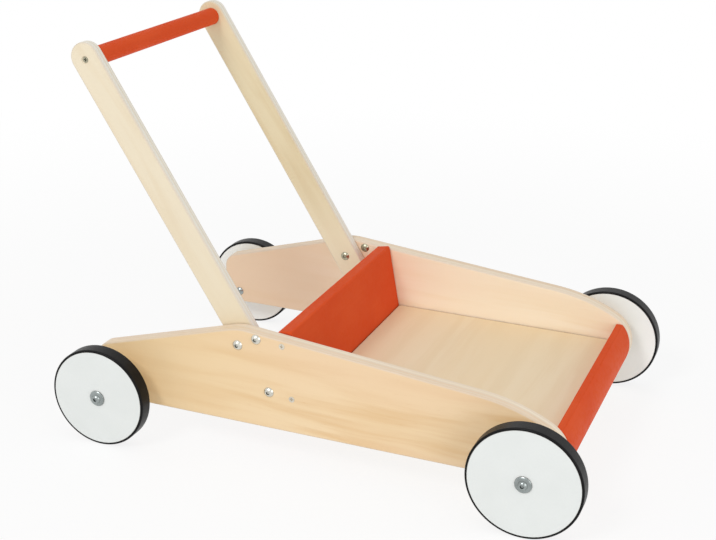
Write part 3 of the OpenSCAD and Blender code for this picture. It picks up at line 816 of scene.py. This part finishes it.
class WALKER_OT_painted_boards(bpy.types.Operator):
    """Make the leaning partition, the front board and the handle bar in orange paint"""

    bl_idname = "walker.painted_boards"
    bl_label = "Painted boards"

    def execute(self, context):
        finish = context.scene.walker_finish
        paint = paint_material("orange_paint", finish.orange, finish.orange_arris)
        for node in ("partition_board", "front_board"):
            eased_piece(node, paint, finish.board_ease, outer_arrises)
        refinish("handle_bar", paint)
        return {"FINISHED"}


class WALKER_OT_handle_arms(bpy.types.Operator):
    """Make the two leaning handle arms with eased arrises"""

    bl_idname = "walker.handle_arms"
    bl_label = "Handle arms"

    def execute(self, context):
        timber = context.scene.walker_timber
        material = plywood_material(
            "arm_timber", UP_ARM, (timber.arm_pale, timber.arm_deep, timber.arm_blush),
            (timber.arm_inner_pale, timber.arm_inner_deep, timber.arm_inner_blush), timber.arm_edge,
            ARM_INNER, ARM_OUTER, timber.arm_layers,
            (ARM_FADE, timber.arm_low, timber.arm_inner_low_light),
        )
        for side in SIDES:
            eased_piece(side + "_handle_arm", material, timber.arm_ease, outer_arrises)
        return {"FINISHED"}


class WALKER_OT_wheels(bpy.types.Operator):
    """Make the four painted discs and finish their tyres, bushes and spacers"""

    bl_idname = "walker.wheels"
    bl_label = "Wheels"

    def execute(self, context):
        finish = context.scene.walker_finish
        timber = context.scene.walker_timber
        white = paint_material("white_paint", finish.white, finish.white_arris, finish.white_painted_light)
        rubber = rubber_material()
        plastic = bush_material()
        tones = (timber.arm_pale, timber.arm_deep, timber.arm_blush)
        spacer_wood = plywood_material(
            "spacer_timber", ACROSS, tones, tones, timber.arm_pale,
            PANEL_OUTER, WHEEL_MIDDLE, SPACER_LAYERS,
        )
        for corner in CORNERS:
            eased_piece(corner + "_disc", white, finish.disc_ease, outer_arrises)
            refinish(corner + "_tyre", rubber)
            refinish(corner + "_bush", plastic)
            refinish(corner + "_spacer", spacer_wood)
        return {"FINISHED"}


class WALKER_OT_fasteners(bpy.types.Operator):
    """Make the zinc bolts, washers, nuts and screws with crisp eased edges"""

    bl_idname = "walker.fasteners"
    bl_label = "Fasteners"

    def execute(self, context):
        finish = context.scene.walker_finish
        screw_zinc = zinc_material("screw_zinc", finish.screw_zinc, SCREW_SPECKLE, SCREW_RECESS_SHADE)
        axle_zinc = zinc_material("axle_zinc", finish.axle_zinc, BOLT_SPECKLE, BOLT_RECESS_SHADE)
        bolt_zinc = zinc_material("bolt_zinc", finish.zinc, BOLT_SPECKLE, BOLT_RECESS_SHADE)
        nut_zinc = zinc_material("nut_zinc", finish.nut_zinc, NUT_SPECKLE, BOLT_RECESS_SHADE)
        kinds = {
            "board_screws": screw_zinc, "partition_screws": screw_zinc, "bar_screws": nut_zinc,
            "_bolts": bolt_zinc, "_nuts": nut_zinc,
            "_axle_bolt": axle_zinc, "_hub_washer": axle_zinc, "_axle_nut": axle_zinc,
        }
        for node in frame["nodes"]:
            for ending, zinc in kinds.items():
                if node.endswith(ending):
                    eased_piece(node, zinc, finish.metal_ease, sharp_arrises, FINE_SEGMENTS)
        return {"FINISHED"}


class WALKER_OT_stage(bpy.types.Operator):
    """Set up the camera, the pale floor and the soft lamps"""

    bl_idname = "walker.stage"
    bl_label = "Stage"

    def execute(self, context):
        settings = context.scene.walker_stage
        self.camera(context, settings)
        self.floor(context, settings)
        self.sky(context, settings)
        self.lamp(context, "key_lamp", *KEY_LAMP, settings.key_power)
        self.lamp(context, "fill_lamp", *FILL_LAMP, settings.fill_power)
        context.scene.view_settings.view_transform = "Standard"
        return {"FINISHED"}

    def camera(self, context, settings):
        """The camera at the photograph's angle."""
        turn, rise, roll = settings.camera_azimuth, settings.camera_elevation, settings.camera_roll
        out = math.cos(rise)
        back = Vector((math.sin(turn) * out, -math.cos(turn) * out, math.sin(rise)))
        level = Vector((math.cos(turn), math.sin(turn), 0))
        upright = back.cross(level)
        right = level * math.cos(roll) + upright * math.sin(roll)
        up = upright * math.cos(roll) - level * math.sin(roll)
        lens = bpy.data.cameras.new("walker_camera")
        lens.lens = settings.camera_lens
        camera = bpy.data.objects.new("walker_camera", lens)
        facing = Matrix((right, up, back)).transposed().to_4x4()
        camera.matrix_world = Matrix.Translation(settings.camera_place) @ facing
        context.scene.collection.objects.link(camera)
        context.scene.camera = camera

    def floor(self, context, settings):
        """A pale floor that takes the walker's shadow and runs out into white."""
        sheet = bmesh.new()
        bmesh.ops.create_circle(
            sheet, cap_ends=True, segments=FLOOR_SEGMENTS, radius=settings.floor_reach
        )
        mesh = bpy.data.meshes.new("studio_floor")
        sheet.to_mesh(mesh)
        sheet.free()
        mesh.materials.append(self.floor_finish(settings))
        floor = bpy.data.objects.new("studio_floor", mesh)
        context.scene.collection.objects.link(floor)

    def floor_finish(self, settings):
        """Matt near the walker, mixed with plain white where the camera looks, and all white far out."""
        material = bpy.data.materials.new("studio_floor")
        material.use_nodes = True
        bench = NodeBench(material.node_tree)
        place = {0: bench.coords()["Object"]}
        away = bench.add("ShaderNodeVectorMath", place, operation="LENGTH").outputs["Value"]
        plain = bench.ramp(away, settings.shadow_near, settings.shadow_far, settings.floor_lift, 1)
        lift = bench.reckon("MULTIPLY", plain, self.seen(bench))
        factor = bench.reckon("MAXIMUM", lift, settings.floor_glow)
        matt = bench.add("ShaderNodeBsdfDiffuse", {"Color": tuple(settings.floor_colour)}).outputs[0]
        white = bench.add("ShaderNodeEmission", {"Color": WHITE, "Strength": 1.0}).outputs[0]
        surface = bench.add("ShaderNodeMixShader", {0: factor, 1: matt, 2: white}).outputs[0]
        bench.add("ShaderNodeOutputMaterial", {"Surface": surface})
        return material

    def sky(self, context, settings):
        """White behind the walker and in its reflections, softer as light."""
        world = bpy.data.worlds.new("studio_sky")
        world.use_nodes = True
        bench = NodeBench(world.node_tree)
        light, white = (
            bench.add("ShaderNodeBackground", {"Color": WHITE, "Strength": strength}).outputs[0]
            for strength in (settings.sky_level, 1.0)
        )
        surface = bench.add("ShaderNodeMixShader", {0: self.seen(bench), 1: light, 2: white}).outputs[0]
        bench.add("ShaderNodeOutputWorld", {"Surface": surface})
        context.scene.world = world

    def seen(self, bench):
        """1 where the camera looks, straight, in a reflection or through a clear piece."""
        path = bench.add("ShaderNodeLightPath").outputs
        mirrored = bench.reckon("MAXIMUM", path["Is Glossy Ray"], path["Is Transmission Ray"])
        return bench.reckon("MAXIMUM", path["Is Camera Ray"], mirrored)

    def lamp(self, context, name, place, target, size, watts):
        """A square soft lamp aimed at a point."""
        light = bpy.data.lights.new(name, "AREA")
        light.size = size
        light.energy = watts
        lamp = bpy.data.objects.new(name, light)
        aim = (Vector(place) - Vector(target)).to_track_quat("Z", "Y")
        lamp.matrix_world = Matrix.Translation(place) @ aim.to_matrix().to_4x4()
        context.scene.collection.objects.link(lamp)


class WALKER_PT_sidebar(bpy.types.Panel):
    """The walker's pieces and settings"""

    bl_idname = "WALKER_PT_sidebar"
    bl_label = "Baby push walker"
    bl_space_type = "VIEW_3D"
    bl_region_type = "UI"
    bl_category = "Walker"

    def draw(self, context):
        for operator in OPERATORS:
            self.layout.operator(operator.bl_idname)
        for holder in SETTINGS:
            settings = getattr(context.scene, holder)
            box = self.layout.box()
            for name in settings.bl_rna.properties.keys():
                if name not in ("rna_type", "name"):
                    box.prop(settings, name)


SETTINGS = {
    "walker_timber": WALKER_PG_timber,
    "walker_finish": WALKER_PG_finish,
    "walker_stage": WALKER_PG_stage,
}
OPERATORS = [
    WALKER_OT_side_panels,
    WALKER_OT_load_floor,
    WALKER_OT_painted_boards,
    WALKER_OT_handle_arms,
    WALKER_OT_wheels,
    WALKER_OT_fasteners,
    WALKER_OT_stage,
]


def register():
    """Adds the settings, the operators and the sidebar panel."""
    for holder, settings in SETTINGS.items():
        bpy.utils.register_class(settings)
        setattr(bpy.types.Scene, holder, PointerProperty(type=settings))
    for kind in (*OPERATORS, WALKER_PT_sidebar):
        bpy.utils.register_class(kind)


def unregister():
    """Takes them away again."""
    for kind in reversed((*OPERATORS, WALKER_PT_sidebar)):
        bpy.utils.unregister_class(kind)
    for holder, settings in SETTINGS.items():
        delattr(bpy.types.Scene, holder)
        bpy.utils.unregister_class(settings)


def main():
    """Makes every piece and the stage."""
    register()
    bpy.ops.walker.side_panels()
    bpy.ops.walker.load_floor()
    bpy.ops.walker.painted_boards()
    bpy.ops.walker.handle_arms()
    bpy.ops.walker.wheels()
    bpy.ops.walker.fasteners()
    bpy.ops.walker.stage()
    bpy.context.view_layer.update()


if __name__ == "__main__":
    main()
